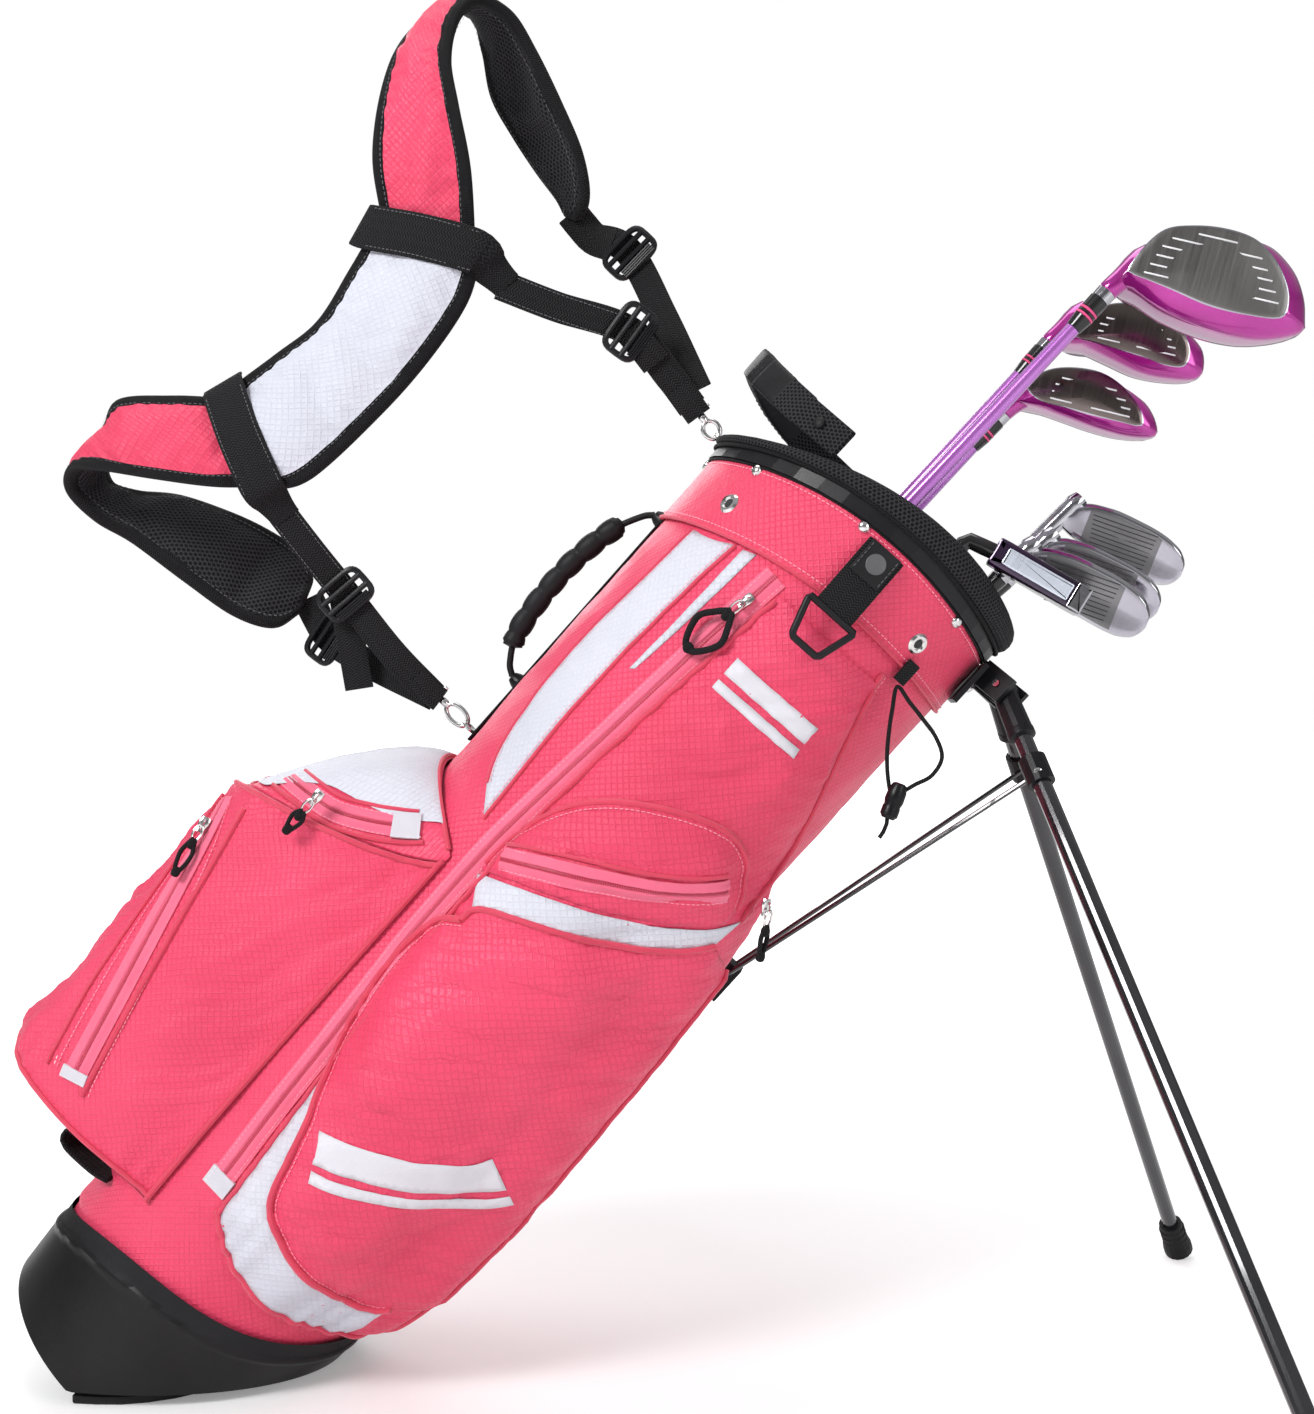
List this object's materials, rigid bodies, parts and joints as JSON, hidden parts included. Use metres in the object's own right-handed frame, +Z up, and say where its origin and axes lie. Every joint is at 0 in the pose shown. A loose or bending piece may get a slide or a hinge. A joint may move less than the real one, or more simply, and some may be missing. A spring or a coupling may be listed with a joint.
{
  "type": "golf club set",
  "caption": "Junior stand bag with two folding legs, twin-strap harness and zip pockets, holding woods, irons and a putter that draw out.",
  "frame": {"origin": "on the floor, under the centre of the bag's base disc", "axes": "+Z up, +X towards the stand legs (the side the bag leans to), +Y away from the garment pocket's side; the bag's own axis is (0.669, 0, 0.743)"},
  "size_m": [0.8162, 0.609, 0.9074],
  "materials": {
    "pink_fabric": "satin",
    "white_fabric": "matte",
    "mesh_fabric": "matte",
    "webbing": "matte",
    "boot_rubber": "matte",
    "grip_rubber": "matte",
    "black_plastic": "satin",
    "leg_enamel": "gloss",
    "steel": "satin",
    "zinc_nickel": "polished",
    "shaft_lacquer": "gloss",
    "crown_lacquer": "gloss",
    "putter_lacquer": "gloss"
  },
  "bodies": {
    "bag": {"bag_shell": "pink_fabric", "base_boot": "boot_rubber", "top_collar": "black_plastic", "collar_pad": "mesh_fabric", "top_handle": "grip_rubber", "spine_stay": "webbing", "ball_pocket": "pink_fabric", "garment_pocket": "pink_fabric", "accessory_pocket": "pink_fabric", "stand_bracket": "black_plastic", "hinge_pin_near": "zinc_nickel", "hinge_pin_far": "zinc_nickel"},
    "base_foot": {"base_foot": "boot_rubber"},
    "leg_near": {"leg_knuckle_near": "black_plastic", "leg_tube_near": "leg_enamel", "leg_clamp_near": "black_plastic", "foot_near": "boot_rubber"},
    "leg_far": {"leg_knuckle_far": "black_plastic", "leg_tube_far": "leg_enamel", "leg_clamp_far": "black_plastic", "foot_far": "boot_rubber"},
    "stand_slider": {"slider_block": "black_plastic", "push_rod": "leg_enamel"},
    "wire_near": {"wire_near": "leg_enamel"},
    "wire_far": {"wire_far": "leg_enamel"},
    "spine_handle": {"spine_handle": "grip_rubber"},
    "towel_hook": {"towel_hook": "webbing"},
    "garment_zip_pull": {"garment_zip_pull": "zinc_nickel"},
    "ball_zip_pull": {"ball_zip_pull": "zinc_nickel"},
    "cooler_zip_pull": {"cooler_zip_pull": "zinc_nickel"},
    "accessory_zip_pull": {"accessory_zip_pull": "zinc_nickel"},
    "umbrella_cord": {"umbrella_cord": "webbing"},
    "harness": {"shoulder_pad_upper": "pink_fabric", "shoulder_pad_lower": "pink_fabric", "back_pad": "white_fabric", "webbing_upper": "webbing", "webbing_lower": "webbing", "clip_upper": "zinc_nickel", "clip_lower": "zinc_nickel"},
    "driver": {"driver_head": "crown_lacquer", "driver_shaft": "shaft_lacquer", "driver_grip": "grip_rubber"},
    "fairway_wood": {"fairway_wood_head": "crown_lacquer", "fairway_wood_shaft": "shaft_lacquer", "fairway_wood_grip": "grip_rubber"},
    "rescue_wood": {"rescue_wood_head": "crown_lacquer", "rescue_wood_shaft": "shaft_lacquer", "rescue_wood_grip": "grip_rubber"},
    "long_iron": {"long_iron_head": "steel", "long_iron_shaft": "shaft_lacquer", "long_iron_grip": "grip_rubber"},
    "mid_iron": {"mid_iron_head": "steel", "mid_iron_shaft": "shaft_lacquer", "mid_iron_grip": "grip_rubber"},
    "short_iron": {"short_iron_head": "steel", "short_iron_shaft": "shaft_lacquer", "short_iron_grip": "grip_rubber"},
    "putter": {"putter_head": "putter_lacquer", "putter_shaft": "shaft_lacquer", "putter_grip": "grip_rubber"}
  },
  "joints": [
    {"name": "leg_near_fold", "type": "hinge", "parent": "bag", "child": "leg_near", "pos_m": [0.571, -0.025, 0.444], "axis": [0.408, 0.8359, -0.3673], "range_deg": [0, 66]},
    {"name": "leg_far_fold", "type": "hinge", "parent": "bag", "child": "leg_far", "pos_m": [0.571, 0.025, 0.444], "axis": [-0.408, 0.8359, 0.3673], "range_deg": [0, 66]},
    {"name": "base_foot_hinge", "type": "hinge", "parent": "bag", "child": "base_foot", "pos_m": [0, 0, 0.003], "axis": [0, 1, 0], "range_deg": [0, 42]},
    {"name": "stand_slide", "type": "slide", "parent": "bag", "child": "stand_slider", "axis": [-0.6691, 0, -0.7431], "range_m": [0, 0.0416]},
    {"name": "wire_near_swing", "type": "hinge", "parent": "stand_slider", "child": "wire_near", "pos_m": [0.39601, -0.0146, 0.26173], "axis": [-0.3878, -0.8379, 0.3841], "range_deg": [0, 12.48]},
    {"name": "wire_far_swing", "type": "hinge", "parent": "stand_slider", "child": "wire_far", "pos_m": [0.39601, 0.0146, 0.26173], "axis": [0.3878, -0.8379, -0.3841], "range_deg": [0, 12.48]},
    {"name": "spine_handle_flop", "type": "hinge", "parent": "bag", "child": "spine_handle", "pos_m": [0.30282, 0, 0.50644], "axis": [0.6691, 0, 0.7431], "range_deg": [-75, 75]},
    {"name": "towel_hook_lift", "type": "hinge", "parent": "bag", "child": "towel_hook", "pos_m": [0.49562, -0.10914, 0.52661], "axis": [-0.734, -0.1564, 0.6609], "range_deg": [0, 60]},
    {"name": "garment_zip", "type": "hinge", "parent": "bag", "child": "garment_zip_pull", "pos_m": [1.39234, -0.54562, -0.71573], "axis": [-0.2048, -0.9613, 0.1844], "range_deg": [0, 16.2]},
    {"name": "ball_zip", "type": "hinge", "parent": "bag", "child": "ball_zip_pull", "pos_m": [-0.07227, 0.50768, 0.24644], "axis": [0.8796, 0.1325, -0.4569], "range_deg": [0, 15]},
    {"name": "cooler_zip", "type": "slide", "parent": "bag", "child": "cooler_zip_pull", "axis": [0.9339, -0.0403, -0.3553], "range_m": [0, 0.045]},
    {"name": "accessory_zip", "type": "hinge", "parent": "bag", "child": "accessory_zip_pull", "pos_m": [0.31608, 0.0163, 0.33547], "axis": [0.1936, 0, 0.9811], "range_deg": [-54.8, 0]},
    {"name": "umbrella_cord_swing", "type": "hinge", "parent": "bag", "child": "umbrella_cord", "pos_m": [0.50506, -0.07953, 0.44613], "axis": [0, 1, 0], "range_deg": [-60, 0]},
    {"name": "harness_swing", "type": "hinge", "parent": "bag", "child": "harness", "pos_m": [0.31044, 0, 0.5164], "axis": [0.6691, 0, 0.7431], "range_deg": [-75, 75]},
    {"name": "driver_draw", "type": "slide", "parent": "bag", "child": "driver", "axis": [0.6845, 0, 0.729], "range_m": [0, 0.72]},
    {"name": "fairway_wood_draw", "type": "slide", "parent": "bag", "child": "fairway_wood", "axis": [0.6794, 0, 0.7337], "range_m": [0, 0.72]},
    {"name": "rescue_wood_draw", "type": "slide", "parent": "bag", "child": "rescue_wood", "axis": [0.682, 0, 0.7314], "range_m": [0, 0.72]},
    {"name": "long_iron_draw", "type": "slide", "parent": "bag", "child": "long_iron", "axis": [0.7133, 0, 0.7009], "range_m": [0, 0.04]},
    {"name": "mid_iron_draw", "type": "slide", "parent": "bag", "child": "mid_iron", "axis": [0.7133, 0, 0.7009], "range_m": [0, 0.34]},
    {"name": "short_iron_draw", "type": "slide", "parent": "bag", "child": "short_iron", "axis": [0.7133, 0, 0.7009], "range_m": [0, 0.115]},
    {"name": "putter_draw", "type": "slide", "parent": "bag", "child": "putter", "axis": [0.6691, 0, 0.7431], "range_m": [0, 0.16]}
  ],
  "couplings": [
    {"joint": "leg_far_fold", "follows": "leg_near_fold", "ratio": 1},
    {"joint": "base_foot_hinge", "follows": "leg_near_fold", "ratio": 0.63636},
    {"joint": "stand_slide", "follows": "leg_near_fold", "m_per_rad": 0.036065},
    {"joint": "wire_near_swing", "follows": "leg_near_fold", "ratio": 0.18903},
    {"joint": "wire_far_swing", "follows": "leg_near_fold", "ratio": 0.18903}
  ]
}
